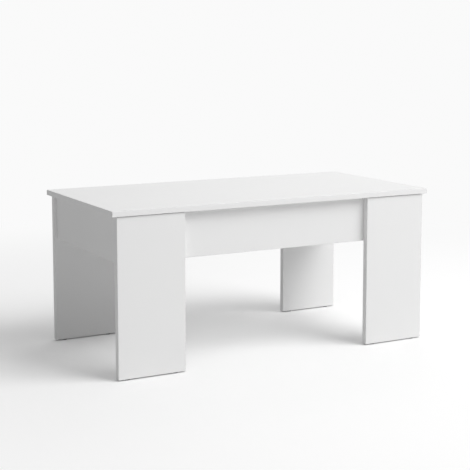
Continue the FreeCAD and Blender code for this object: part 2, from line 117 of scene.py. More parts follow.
# ---------------------------------------------------------------- finishes
class Shader:
    """A node material under construction, with short calls for the nodes it needs."""

    def __init__(self, name: str, **sockets: object) -> None:
        """Start a material with one Principled shader.

        Args:
            name: the material's name.
            sockets: plain values for the shader's sockets, spaces as underscores.
        """
        self.material = bpy.data.materials.new(name)
        self.material.use_nodes = True
        self.tree = self.material.node_tree
        self.surface = self.tree.nodes["Principled BSDF"]
        for key, value in sockets.items():
            self.surface.inputs[key.replace("_", " ")].default_value = value

    def node(self, kind: str, **settings: object) -> bpy.types.Node:
        """Add a node and set its own properties or its input sockets.

        Args:
            kind: the node's type name.
            settings: properties by name, or sockets by name with underscores.

        Returns:
            The new node.
        """
        made = self.tree.nodes.new(kind)
        for key, value in settings.items():
            if hasattr(made, key):
                setattr(made, key, value)
            else:
                made.inputs[key.replace("_", " ")].default_value = value
        return made

    def link(self, source: bpy.types.NodeSocket, target: bpy.types.NodeSocket) -> None:
        """Join two sockets."""
        self.tree.links.new(source, target)

    def noise(self, scale: float, detail: float = 2.0, stretch: tuple = (1, 1, 1)) -> bpy.types.NodeSocket:
        """Add a noise on object coordinates.

        Args:
            scale: features per metre.
            detail: octaves.
            stretch: scale along each axis, for grain.

        Returns:
            The noise's value socket.
        """
        place = self.node("ShaderNodeTexCoord")
        mapping = self.node("ShaderNodeMapping", Scale=stretch)
        texture = self.node("ShaderNodeTexNoise", Scale=scale, Detail=detail)
        self.link(place.outputs["Object"], mapping.inputs["Vector"])
        self.link(mapping.outputs["Vector"], texture.inputs["Vector"])
        return texture.outputs["Fac"]

    def between(self, factor: bpy.types.NodeSocket, low: float, high: float) -> bpy.types.NodeSocket:
        """Map a noise from its usual range to low and high.

        Args:
            factor: the noise.
            low: the result at NOISE_LOW.
            high: the result at NOISE_HIGH.

        Returns:
            The mapped value socket.
        """
        node = self.node(
            "ShaderNodeMapRange", From_Min=NOISE_LOW, From_Max=NOISE_HIGH, To_Min=low, To_Max=high
        )
        self.link(factor, node.inputs["Value"])
        return node.outputs["Result"]

    def tint(self, factor: bpy.types.NodeSocket, first: tuple, second: tuple) -> None:
        """Vary the base colour between two colours by a factor."""
        ramp = self.node("ShaderNodeValToRGB")
        ramp.color_ramp.elements[0].position = NOISE_LOW
        ramp.color_ramp.elements[0].color = (*first, 1.0)
        ramp.color_ramp.elements[1].position = NOISE_HIGH
        ramp.color_ramp.elements[1].color = (*second, 1.0)
        self.link(factor, ramp.inputs["Fac"])
        self.link(ramp.outputs["Color"], self.surface.inputs["Base Color"])

    def relief(self, height: bpy.types.NodeSocket, distance: float, strength: float) -> None:
        """Raise the surface by a height socket, in metres at full value."""
        bump = self.node("ShaderNodeBump", Distance=distance, Strength=strength)
        self.link(height, bump.inputs["Height"])
        self.link(bump.outputs["Normal"], self.surface.inputs["Normal"])


@dataclass(frozen=True)
class Melamine:
    """White melamine-faced board, or the matching edge band."""

    name: str
    shade: float
    roughness: float
    pearl_scale: float = 1400.0
    pearl_depth: float = 0.02 * MM
    mottling: float = 0.992
    warmth: float = 0.997
    gloss_spread: float = 0.025

    def build(self) -> bpy.types.Material:
        """Make the material: faint mottling, uneven gloss and a fine pearl texture."""
        shader = Shader(self.name, Roughness=self.roughness, Specular_IOR_Level=0.15)
        low, warm = self.shade * self.mottling, self.shade * self.warmth
        shader.tint(shader.noise(5.0, 3.0), (low, low, low), (self.shade, self.shade, warm))
        smooth, rough = self.roughness - self.gloss_spread, self.roughness + self.gloss_spread
        gloss = shader.between(shader.noise(38.0, 4.0), smooth, rough)
        shader.link(gloss, shader.surface.inputs["Roughness"])
        shader.relief(shader.noise(self.pearl_scale, 2.0), self.pearl_depth, 0.5)
        return shader.material


@dataclass(frozen=True)
class PowderCoat:
    """Black powder coat on stamped steel."""

    name: str
    shade: float = 0.018
    roughness: float = 0.42

    def build(self) -> bpy.types.Material:
        """Make the material: near black, with a fine orange peel."""
        shader = Shader(self.name, Roughness=self.roughness, Specular_IOR_Level=0.5)
        high = self.shade * 1.5
        shader.tint(shader.noise(60.0, 3.0), (self.shade,) * 3, (high, high, high * 1.04))
        gloss = shader.between(shader.noise(120.0, 3.0), self.roughness - 0.06, self.roughness + 0.08)
        shader.link(gloss, shader.surface.inputs["Roughness"])
        shader.relief(shader.noise(1600.0, 2.0), 0.04 * MM, 0.6)
        return shader.material


@dataclass(frozen=True)
class PlatedSteel:
    """Zinc-plated steel, brushed or drawn."""

    name: str
    colour: tuple[float, float, float] = (0.62, 0.63, 0.65)
    roughness: float = 0.32

    def build(self) -> bpy.types.Material:
        """Make the material: bright metal with cloudy plating and fine draw lines."""
        shader = Shader(self.name, Metallic=1.0, Roughness=self.roughness)
        darker = tuple(0.86 * value for value in self.colour)
        shader.tint(shader.noise(220.0, 4.0), darker, self.colour)
        gloss = shader.between(shader.noise(420.0, 3.0), self.roughness - 0.07, self.roughness + 0.1)
        shader.link(gloss, shader.surface.inputs["Roughness"])
        shader.relief(shader.noise(900.0, 2.0, (1.0, 6.0, 6.0)), 0.02 * MM, 0.4)
        return shader.material


@dataclass(frozen=True)
class Moulded:
    """Moulded plastic or rubber in one colour."""

    name: str
    colour: tuple[float, float, float]
    roughness: float = 0.5

    def build(self) -> bpy.types.Material:
        """Make the material: an even colour with a fine moulded texture."""
        shader = Shader(self.name, Roughness=self.roughness)
        paler = tuple(min(1.0, 1.08 * value) for value in self.colour)
        shader.tint(shader.noise(160.0, 3.0), self.colour, paler)
        shader.relief(shader.noise(2200.0, 2.0), 0.03 * MM, 0.5)
        return shader.material


@dataclass(frozen=True)
class BeechWood:
    """Turned beech with a fine grain along Y."""

    name: str

    def build(self) -> bpy.types.Material:
        """Make the material: grain stretched along the dowel."""
        shader = Shader(self.name, Roughness=0.62)
        grain = shader.noise(900.0, 4.0, (1.0, 0.08, 1.0))
        shader.tint(grain, (0.50, 0.33, 0.17), (0.66, 0.48, 0.29))
        shader.relief(grain, 0.08 * MM, 0.6)
        return shader.material


class Finishes:
    """Every material of the table, built once."""

    def __init__(self) -> None:
        """Build the materials."""
        self.face = Melamine("white_melamine", 0.85, 0.56).build()
        self.band = Melamine("white_edge_band", 0.85, 0.5, pearl_scale=2600.0).build()
        self.steel = PowderCoat("black_powder_coat").build()
        self.zinc = PlatedSteel("zinc_plate").build()
        self.spring = PlatedSteel("spring_wire", (0.52, 0.53, 0.55), 0.26).build()
        self.glide = Moulded("grey_glide_plastic", (0.16, 0.16, 0.165), 0.5).build()
        self.rubber = Moulded("grey_rubber", (0.09, 0.09, 0.095), 0.75).build()
        self.beech = BeechWood("beech_dowel").build()
        self.nylon = Moulded("natural_nylon", (0.74, 0.73, 0.69), 0.4).build()


# ---------------------------------------------------------------- meshes
class MeshBuilder:
    """Collects grids of points and closes them into one mesh."""

    def __init__(self) -> None:
        """Start with nothing."""
        self.points: list[np.ndarray] = []
        self.faces: list[list[int]] = []
        self.smooth: list[bool] = []
        self.finish: list[int] = []
        self.count = 0

    def add_grid(
        self,
        grid: np.ndarray,
        loop: bool = False,
        smooth: np.ndarray | bool = True,
        finish: np.ndarray | int = 0,
        cap: tuple[bool, bool] = (False, False),
        cap_smooth: bool = False,
    ) -> None:
        """Add a grid as quads: point (i, j) joins (i+1, j), (i+1, j+1) and (i, j+1).

        Args:
            grid: rows x columns x 3.
            loop: whether the last row joins the first, as the last column always does.
            smooth: one value, or one for each quad (rows x columns of quads).
            finish: material index, one value or one for each quad.
            cap: whether the first and the last row are closed by one face.
            cap_smooth: whether those faces are smooth.
        """
        rows, columns = grid.shape[:2]
        index = np.arange(rows * columns).reshape(rows, columns) + self.count
        below = np.roll(index, -1, axis=0) if loop else index[1:]
        above = index if loop else index[:-1]
        right, below_right = np.roll(above, -1, axis=1), np.roll(below, -1, axis=1)
        quads = np.stack([above, below, below_right, right], axis=-1)
        shape = quads.shape[:2]
        self.points.append(grid.reshape(-1, 3))
        self.faces += quads.reshape(-1, 4).tolist()
        self.smooth += np.broadcast_to(smooth, shape).reshape(-1).tolist()
        self.finish += np.broadcast_to(finish, shape).reshape(-1).tolist()
        for closed, row in zip(cap, (index[0], index[-1][::-1])):
            if closed:
                self.faces.append(row.tolist())
                self.smooth.append(cap_smooth)
                self.finish.append(0)
        self.count += rows * columns

    def build(self, name: str, materials: list[bpy.types.Material]) -> bpy.types.Object:
        """Make the object, with doubles merged and faces pointing outwards.

        Args:
            name: the object's name.
            materials: its materials, by index.

        Returns:
            The new object, at the origin.
        """
        mesh = bpy.data.meshes.new(name)
        mesh.from_pydata(np.concatenate(self.points).tolist(), [], self.faces)
        mesh.polygons.foreach_set("use_smooth", self.smooth)
        mesh.polygons.foreach_set("material_index", self.finish)
        work = bmesh.new()
        work.from_mesh(mesh)
        bmesh.ops.remove_doubles(work, verts=work.verts, dist=SAME_POINT)
        bmesh.ops.recalc_face_normals(work, faces=work.faces)
        work.to_mesh(mesh)
        work.free()
        for material in materials:
            mesh.materials.append(material)
        piece = bpy.data.objects.new(name, mesh)
        bpy.context.scene.collection.objects.link(piece)
        return piece


@dataclass(frozen=True)
class Box:
    """A box in the frame, from its lowest to its highest corner."""

    low: np.ndarray
    high: np.ndarray

    @property
    def centre(self) -> np.ndarray:
        """The box's middle."""
        return (self.low + self.high) / 2

    @property
    def size(self) -> np.ndarray:
        """The box's size along each axis."""
        return self.high - self.low

    @classmethod
    def of(cls, node: str) -> "Box":
        """The box of a CAD node."""
        low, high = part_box(node)
        return cls(np.array(low), np.array(high))


def join_by(piece: bpy.types.Object, tool: bpy.types.Object, operation: str) -> None:
    """Cut a tool out of a piece, or weld it on, and drop the tool.

    Args:
        piece: the piece, which gets the new mesh.
        tool: a closed mesh.
        operation: DIFFERENCE or UNION.
    """
    cut = piece.modifiers.new("joined", "BOOLEAN")
    cut.object = tool
    cut.operation = operation
    cut.solver = "EXACT"
    bpy.context.view_layer.update()
    piece.data = bpy.data.meshes.new_from_object(piece.evaluated_get(bpy.context.evaluated_depsgraph_get()))
    piece.modifiers.clear()
    bpy.data.objects.remove(tool)


def solid_boxes(frame: dict, node: str) -> list[Box]:
    """Find each separate solid of a CAD node.

    Points that share a place get one number, and each edge then pulls its two
    ends to the lower number until nothing changes, so a solid ends with one.

    Args:
        node: the node's name.

    Returns:
        One box for each solid, ordered by place.
    """
    mesh = frame["nodes"][node].data
    points = np.empty(len(mesh.vertices) * 3)
    mesh.vertices.foreach_get("co", points)
    points = points.reshape(-1, 3)
    edges = np.empty(len(mesh.edges) * 2, dtype=np.int32)
    mesh.edges.foreach_get("vertices", edges)
    _, same = np.unique(np.round(points, 6), axis=0, return_inverse=True)
    ends = same.reshape(-1)[edges.reshape(-1, 2)]
    label = np.arange(same.max() + 1)
    while True:
        lower = np.minimum(label[ends[:, 0]], label[ends[:, 1]])
        fresh = label.copy()
        np.minimum.at(fresh, ends[:, 0], lower)
        np.minimum.at(fresh, ends[:, 1], lower)
        if np.array_equal(fresh, label):
            break
        label = fresh
    owner = label[same.reshape(-1)]
    boxes = [Box(points[owner == one].min(0), points[owner == one].max(0)) for one in np.unique(owner)]
    return sorted(boxes, key=lambda box: tuple(np.round(box.centre, 4)))


def on_side(boxes: list[Box], side: Side) -> list[Box]:
    """The boxes at one end of the table, from the front to the rear."""
    return sorted((box for box in boxes if box.centre[0] * side.value > 0), key=lambda box: box.centre[1])


def turned(profile: np.ndarray, place: np.ndarray, axis: np.ndarray, steps: int) -> np.ndarray:
    """Turn a profile about an axis: each (radius, height) becomes a circle.

    Args:
        profile: rows of (radius, height along the axis).
        place: the axis's start.
        axis: its direction, of length one.
        steps: points round each circle.

    Returns:
        rows x steps x 3.
    """
    first, second = cross_axes(axis)
    angle = np.linspace(0, 2 * math.pi, steps, endpoint=False)
    ring = np.cos(angle)[:, None] * first + np.sin(angle)[:, None] * second
    radius, height = profile[:, 0], profile[:, 1]
    return place + radius[:, None, None] * ring + height[:, None, None] * axis


def cross_axes(axis: np.ndarray) -> tuple[np.ndarray, np.ndarray]:
    """Two directions square to an axis and to each other."""
    helper = Z_AXIS if abs(axis[2]) < 0.9 else X_AXIS
    first = np.cross(helper, axis)
    first /= np.linalg.norm(first)
    return first, np.cross(axis, first)


def rounded_corner(
    radius: float, height: float, fillet: float, steps: int = 5, rising: bool = True
) -> np.ndarray:
    """A quarter circle at the outer corner of a turned profile.

    Args:
        radius: the corner's radius from the axis.
        height: the corner's height.
        fillet: the quarter circle's own radius.
        steps: points on it.
        rising: whether the profile arrives from below.

    Returns:
        Rows of (radius, height).
    """
    angle = np.linspace(0, math.pi / 2, steps)
    if not rising:
        angle = angle[::-1] * -1
    centre = height - fillet if rising else height + fillet
    return np.stack([radius - fillet + fillet * np.cos(angle), centre + fillet * np.sin(angle)], axis=1)


def keep(piece: bpy.types.Object, body: str, slot: Slot, *nodes: str) -> None:
    """Put a finished piece in the model: it rides a body and stands for CAD nodes.

    Args:
        piece: the new piece.
        body: the body it rides on.
        slot: its material slot; not used.
        nodes: the CAD nodes it replaces.
    """
    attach(piece, body)
    if nodes:
        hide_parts(*nodes)
    LOG.info("%s rides on %s, %d faces", piece.name, body, len(piece.data.polygons))


# ---------------------------------------------------------------- boards
@dataclass(frozen=True)
class Board:
    """One edge-banded board: two melamine faces and a thin band round its edge."""

    box: Box
    thick_axis: int
    band: float = 0.9 * MM
    rounding: float = 0.7 * MM
    seam_width: float = 0.22 * MM
    seam_depth: float = 0.14 * MM
    corner: float = 0.8 * MM
    least_corner: float = 0.04 * MM
    support: float = 3.0 * MM
    arc_steps: int = 5

    def rings(self) -> tuple[np.ndarray, np.ndarray, np.ndarray, np.ndarray]:
        """Insets and heights of the rings over one half, mirrored for the other.

        From the face's middle outwards: the flat face, the V of the glue seam, the
        band's rim, and a quarter circle over to the side.

        Returns:
            Insets, heights above the mid plane, and for each step to the next
            ring whether it is smooth and whether it is band.
        """
        half = self.box.size[self.thick_axis] / 2
        angle = np.linspace(0, math.pi / 2, self.arc_steps)
        seam = self.band + self.seam_width * np.array([3.0, 0.5, 0.0, -0.5])
        inset = np.concatenate([seam, self.rounding * (1 - np.sin(angle))])
        height = np.concatenate([[0, 0, -self.seam_depth, 0], self.rounding * (np.cos(angle) - 1)]) + half
        steps = len(inset) - 1
        smooth = np.arange(steps) >= 4
        band = np.arange(steps) >= 2
        inset = np.concatenate([inset, inset[::-1]])
        height = np.concatenate([height, -height[::-1]])
        smooth = np.concatenate([smooth, [False], smooth[::-1]])
        band = np.concatenate([band, [True], band[::-1]])
        return inset, height, smooth, band

    def grid(self, inset: np.ndarray, height: np.ndarray) -> tuple[np.ndarray, np.ndarray]:
        """Rounded rectangles, one for each ring.

        Each corner is a quarter circle whose radius shrinks with the inset, with
        one more point on the side at each end of it.

        Args:
            inset: each ring's distance inside the outline.
            height: each ring's height above the mid plane.

        Returns:
            The grid, and for each column whether the step to the next is round.
        """
        axes = [axis for axis in range(3) if axis != self.thick_axis]
        half = self.box.size[axes] / 2
        radius = np.maximum(self.corner - inset, self.least_corner)[:, None, None]
        quarter = np.linspace(0, math.pi / 2, self.arc_steps)
        angle = quarter[None, :] + (np.arange(4) * math.pi / 2)[:, None]
        away = np.sign(np.stack([np.cos(angle[:, 2]), np.sin(angle[:, 2])], axis=1))
        centre = away[None] * (half - inset[:, None] - radius[:, :, 0])[:, None, :]
        along = centre[:, :, None, 0] + radius * np.cos(angle)
        across = centre[:, :, None, 1] + radius * np.sin(angle)
        before = np.stack([np.sin(angle[:, 0]), -np.cos(angle[:, 0])], axis=1) * self.support
        after = np.stack([-np.sin(angle[:, -1]), np.cos(angle[:, -1])], axis=1) * self.support
        along = np.concatenate(
            [along[:, :, :1] + before[:, :1], along, along[:, :, -1:] + after[:, :1]], axis=2
        )
        across = np.concatenate(
            [across[:, :, :1] + before[:, 1:], across, across[:, :, -1:] + after[:, 1:]], axis=2
        )
        rows = len(inset)
        grid = np.empty((rows, along.shape[1] * along.shape[2], 3))
        grid[:, :, axes[0]] = along.reshape(rows, -1) + self.box.centre[axes[0]]
        grid[:, :, axes[1]] = across.reshape(rows, -1) + self.box.centre[axes[1]]
        grid[:, :, self.thick_axis] = height[:, None] + self.box.centre[self.thick_axis]
        column = np.arange(grid.shape[1]) % (self.arc_steps + 2)
        return grid, (column > 0) & (column < self.arc_steps)

    def build(self, name: str, finishes: Finishes) -> bpy.types.Object:
        """Make the board.

        Args:
            name: the piece's name.
            finishes: the table's materials.

        Returns:
            The board, with its faces in one material and its band in another.
        """
        inset, height, smooth, band = self.rings()
        grid, round_column = self.grid(inset, height)
        builder = MeshBuilder()
        builder.add_grid(
            grid,
            smooth=smooth[:, None] | round_column[None, :],
            finish=band[:, None].astype(int),
            cap=(True, True),
        )
        return builder.build(name, [finishes.face, finishes.band])


@dataclass
class Carcass:
    """The storage box, its legs and the lifting top: every edge-banded board."""

    frame: dict
    finishes: Finishes
    pocket_clearance: float = 0.15 * MM
    pocket_overrun: float = 2.0 * MM
    pocket_sides: int = 48

    def build(self) -> None:
        """Build each board, and drill the cam pockets where they show."""
        boards = {"top_board": (2, "top"), "bottom_panel": (2, "base")}
        for end in ("front", "rear"):
            boards[f"{end}_apron"] = (1, "base")
            for side in Side:
                boards[f"{side.word}_{end}_leg"] = (1, "base")
        for side in Side:
            boards[f"{side.word}_side_panel"] = (0, "base")
        cams = solid_boxes(self.frame, "cam_locks")
        for node, (axis, body) in boards.items():
            board = Board(Box.of(node), axis)
            piece = board.build(f"{node}_banded", self.finishes)
            if node == "bottom_panel" or node.endswith("side_panel"):
                self.drill(piece, board, cams)
            keep(piece, body, Slot.BOARD, node)

    def drill(self, piece: bpy.types.Object, board: Board, cams: list[Box]) -> None:
        """Cut the cam pockets that open in a board's face.

        Args:
            piece: the board.
            board: its shape.
            cams: the boxes of all cams.
        """
        axis = board.thick_axis
        low, high = board.box.low, board.box.high
        builder = MeshBuilder()
        for cam in (cam for cam in cams if np.all((cam.centre > low) & (cam.centre < high))):
            radius = np.delete(cam.size, axis).max() / 2 + self.pocket_clearance
            outward = np.zeros(3)
            outward[axis] = 1.0 if cam.high[axis] > high[axis] - MM else -1.0
            depth = cam.size[axis]
            start = cam.centre - outward * (depth / 2 + self.pocket_clearance)
            profile = np.array([[radius, 0.0], [radius, depth + self.pocket_overrun]])
            builder.add_grid(turned(profile, start, outward, self.pocket_sides), cap=(True, True))
        join_by(piece, builder.build(piece.name + "_pockets", [self.finishes.face]), "DIFFERENCE")


# ---------------------------------------------------------------- fittings
@dataclass(frozen=True)
class CrossHead:
    """A round head with a cross recess, over a plain shank."""

    radius: float
    height: float
    recess_width: float
    recess_length: float
    recess_depth: float
    flatness: float = 0.5
    shank: float = 2.0 * MM
    point_start: float = 0.85
    point_width: float = 0.1
    wall_softness: float = 0.12
    crown_angle: float = 0.02
    rows: int = 26
    sides: int = 48

    def grids(self, place: np.ndarray, out: np.ndarray, length: float) -> list[np.ndarray]:
        """The head and shank as one closed skin.

        The head's outline is radius x sin(a)^flatness against height x
        cos(a)^flatness, and the recess sinks it where the point lies inside
        either bar of the cross, with soft walls.

        Args:
            place: the middle of the face that the head stands on.
            out: the direction out of that face.
            length: the shank's length under the head.

        Returns:
            One grid, from the crown down to the shank's end.
        """
        angle = np.linspace(self.crown_angle, math.pi / 2, self.rows)
        radius = self.radius * np.sin(angle) ** self.flatness
        height = self.height * np.cos(angle) ** self.flatness
        tip = np.array([[1.0, 0.0], [1.0, -self.point_start], [self.point_width, -1.0]])
        profile = np.concatenate([np.stack([radius, height], axis=1), tip * [self.shank, length]])
        grid = turned(profile, np.zeros(3), Z_AXIS, self.sides)
        wide, tall = np.abs(grid[..., 0]), np.abs(grid[..., 1])
        soft = self.recess_width * self.wall_softness

        def inside(value: np.ndarray, half: float) -> np.ndarray:
            """1 within half of the middle, falling softly to 0 outside."""
            return 1 / (1 + np.exp(np.clip((value - half) / soft, -40, 40)))

        bar = inside(wide, self.recess_width / 2) * inside(tall, self.recess_length / 2)
        other = inside(tall, self.recess_width / 2) * inside(wide, self.recess_length / 2)
        on_head = grid[..., 2] > self.height * 0.3
        grid[..., 2] -= np.where(on_head, np.maximum(bar, other) * self.recess_depth, 0.0)
        first, second = cross_axes(out)
        return [place + grid @ np.stack([first, second, out])]


@dataclass
class Fittings:
    """Screws, cams, glides and bumpers."""

    frame: dict
    finishes: Finishes
    screw: CrossHead = CrossHead(4.2 * MM, 2.2 * MM, 1.0 * MM, 4.6 * MM, 1.5 * MM)
    cam: CrossHead = CrossHead(7.4 * MM, 1.2 * MM, 1.8 * MM, 9.6 * MM, 3.0 * MM, 0.16, 7.2 * MM)
    cam_inset: float = 0.1 * MM
    low_rim: float = 0.6 * MM
    high_rim: float = 0.5 * MM
    nail_radius: float = 1.2 * MM
    nail_point: float = 2.0 * MM
    pad_sides: int = 36

    def build(self) -> None:
        """Build every fitting of the box and the top."""
        self.screws("leg_screws", "base", lambda box: np.array([0, -np.sign(box.centre[1]), 0]))
        self.screws("base_bracket_screws", "base", lambda box: -np.sign(box.centre[0]) * X_AXIS)
        self.screws("top_bracket_screws", "top", lambda box: -Z_AXIS)
        self.cams()
        self.pads("leg_glides", "base", Slot.GLIDE, self.finishes.glide, 3.0 * MM)
        self.pads("top_bumpers", "base", Slot.RUBBER, self.finishes.rubber, 0.0)
        for node, material in (("cam_bolts", self.finishes.zinc), ("dowels", self.finishes.beech)):
            dress(self.frame, node, material)

    def screws(self, node: str, body: str, outward: Callable[[Box], np.ndarray]) -> None:
        """Build a group of pan-head screws where the frame has them.

        Args:
            node: the CAD node.
            body: the body they ride on.
            outward: gives the direction out of the head from a screw's box.
        """
        builder = MeshBuilder()
        for box in solid_boxes(self.frame, node):
            out = outward(box).astype(float)
            length = abs(float(box.size @ out))
            face = box.centre + out * (length / 2 - self.screw.height)
            for grid in self.screw.grids(face, out, length - self.screw.height):
                builder.add_grid(grid, cap=(True, True), cap_smooth=True)
        keep(builder.build(f"{node}_cross_head", [self.finishes.zinc]), body, Slot.ZINC, node)

    def cams(self) -> None:
        """Build the cam discs, flush with the boards that hold them."""
        builder = MeshBuilder()
        for box in solid_boxes(self.frame, "cam_locks"):
            axis = 2 if box.low[2] < Box.of("bottom_panel").low[2] + MM else 0
            out = np.zeros(3)
            out[axis] = -1.0 if axis == 2 else -np.sign(box.centre[0])
            depth = box.size[axis]
            face = box.centre + out * (depth / 2 - self.cam.height - self.cam_inset)
            for grid in self.cam.grids(face, out, depth - self.cam.height - 2 * self.cam_inset):
                builder.add_grid(grid, cap=(True, True), cap_smooth=True)
        keep(builder.build("cam_locks_cross_face", [self.finishes.zinc]), "base", Slot.ZINC, "cam_locks")

    def pads(self, node: str, body: str, slot: Slot, material: bpy.types.Material, foot: float) -> None:
        """Build round pads with softened rims: glides with a nail, or plain bumpers.

        Args:
            node: the CAD node.
            body: the body they ride on.
            slot: the material slot.
            material: the finish.
            foot: the pad's own height where a nail stands on it, else 0.
        """
        builder = MeshBuilder()
        for box in solid_boxes(self.frame, node):
            radius = box.size[0] / 2
            height = foot or box.size[2]
            low = rounded_corner(radius, 0.0, self.low_rim, rising=False)
            high = rounded_corner(radius, height, self.high_rim)
            rows = [[[radius * 0.35, 0.05 * MM], [radius * 0.6, 0.0]], low, high]
            if foot:
                nail, tip = self.nail_radius, box.size[2]
                rows += [[[nail, height], [nail, tip - self.nail_point], [nail * 0.15, tip]]]
            else:
                rows += [[[radius * 0.5, height]]]
            profile = np.concatenate([np.array(row) for row in rows])
            base = np.array([*box.centre[:2], box.low[2]])
            builder.add_grid(turned(profile, base, Z_AXIS, self.pad_sides), cap=(True, True))
        keep(builder.build(f"{node}_soft_rim", [material]), body, slot, node)


def dress(frame: dict, node: str, material: bpy.types.Material) -> None:
    """Give a CAD node that stays its material."""
    mesh = frame["nodes"][node].data
    mesh.materials.clear()
    mesh.materials.append(material)
    LOG.info("%s keeps its shape", node)


# ---------------------------------------------------------------- lift mechanism
def rounded_copy(
    frame: dict, node: str, name: str, width: float, material: bpy.types.Material
) -> bpy.types.Object:
    """Copy a CAD node, merged, with its sharp rims rounded by a bevel.

    Args:
        node: the CAD node.
        name: the new piece's name.
        width: the rounding's size.
        material: the finish.

    Returns:
        The new piece.
    """
    mesh = frame["nodes"][node].data.copy()
    work = bmesh.new()
    work.from_mesh(mesh)
    bmesh.ops.remove_doubles(work, verts=work.verts, dist=SAME_CAD_POINT)
    bmesh.ops.dissolve_limit(work, angle_limit=FLAT_ANGLE, verts=work.verts, edges=work.edges)
    sharp = [edge for edge in work.edges if edge.is_manifold and edge.calc_face_angle() > SHARP_ANGLE]
    bmesh.ops.bevel(
        work, geom=sharp, offset=width, segments=2, profile=0.5, affect="EDGES", clamp_overlap=True
    )
    bmesh.ops.triangulate(work, faces=[face for face in work.faces if len(face.verts) > 4])
    work.to_mesh(mesh)
    work.free()
    mesh.materials.clear()
    mesh.materials.append(material)
    piece = bpy.data.objects.new(name, mesh)
    bpy.context.scene.collection.objects.link(piece)
    return piece


@dataclass(frozen=True)
class Coil:
    """A tension spring with a loop at each end, along Y.

    Its loops are long enough at rest to clear their pins once it has shortened.
    """

    centre_x: float
    centre_z: float
    first_pin: float
    last_pin: float
    shortened: float
    wire: float = 1.6 * MM
    radius: float = 5.2 * MM
    turns: int = 44
    turn_points: int = 20
    loop_points: int = 40
    tail_points: int = 8
    wire_sides: int = 10
    loop_sweep: tuple[float, float] = (200.0, -90.0)
    loop_along: float = 5.0 * MM
    loop_up: float = 4.2 * MM
    pin_radius: float = 2.5 * MM
    pin_gap: float = 0.05 * MM
    reach: float = 2.2 * MM
    tail_lift: float = 0.2

    def path(self) -> tuple[np.ndarray, np.ndarray]:
        """The wire's centreline, and a direction to measure its section from.

        Each end is an ellipse in the YZ plane round its pin, which bends over
        into the barrel: a helix of constant radius about the axis.

        Returns:
            Points and reference directions, one row each.
        """
        slack = self.loop_along - self.wire / 2 - (self.pin_radius + self.pin_gap) / self.shortened
        first, last = self.first_pin + slack, self.last_pin - slack
        start, end = first + self.loop_along + self.reach, last - self.loop_along - self.reach
        share = np.linspace(0, 1, self.turns * self.turn_points + 1)
        angle = 2 * math.pi * self.turns * share
        helix = np.stack(
            [self.radius * np.sin(angle), start + (end - start) * share, self.radius * np.cos(angle)], axis=1
        )
        radial = np.stack([np.sin(angle), np.zeros_like(angle), np.cos(angle)], axis=1)
        points, sides = [helix], [radial]
        for centre, barrel, sign in ((first, start, -1), (last, end, 1)):
            sweep = np.radians(np.linspace(*self.loop_sweep, self.loop_points))
            loop = np.stack(
                [
                    np.zeros_like(sweep),
                    centre - sign * self.loop_along * np.sin(sweep),
                    self.loop_up * np.cos(sweep),
                ],
                axis=1,
            )
            bend = np.linspace(0, 1, self.tail_points)[1:-1, None]
            tail = loop[-1] * (1 - bend) ** 2 + helix[0 if sign < 0 else -1] * bend**2
            lift = np.array([0.0, sign * self.reach, self.loop_up]) * self.tail_lift
            middle = np.array([0.0, barrel, 0.0]) + lift
            tail = tail + 2 * bend * (1 - bend) * middle
            side = np.tile(X_AXIS, (len(loop) + len(tail), 1))
            joined = np.concatenate([loop, tail])
            if sign < 0:
                points.insert(0, joined)
                sides.insert(0, side)
            else:
                points.append(joined[::-1])
                sides.append(side)
        line = np.concatenate(points) + [self.centre_x, 0.0, self.centre_z]
        return line, np.concatenate(sides)

    def build(self, name: str, material: bpy.types.Material) -> bpy.types.Object:
        """Carry a circle of the wire's radius along the path.

        Args:
            name: the piece's name.
            material: the finish.

        Returns:
            The coil.
        """
        line, side = self.path()
        along = np.gradient(line, axis=0)
        along /= np.linalg.norm(along, axis=1, keepdims=True)
        first = side - (side * along).sum(1, keepdims=True) * along
        first /= np.linalg.norm(first, axis=1, keepdims=True)
        second = np.cross(along, first)
        angle = np.linspace(0, 2 * math.pi, self.wire_sides, endpoint=False)
        ring = np.cos(angle)[None, :, None] * first[:, None] + np.sin(angle)[None, :, None] * second[:, None]
        builder = MeshBuilder()
        builder.add_grid(line[:, None] + self.wire / 2 * ring, cap=(True, True))
        return builder.build(name, [material])


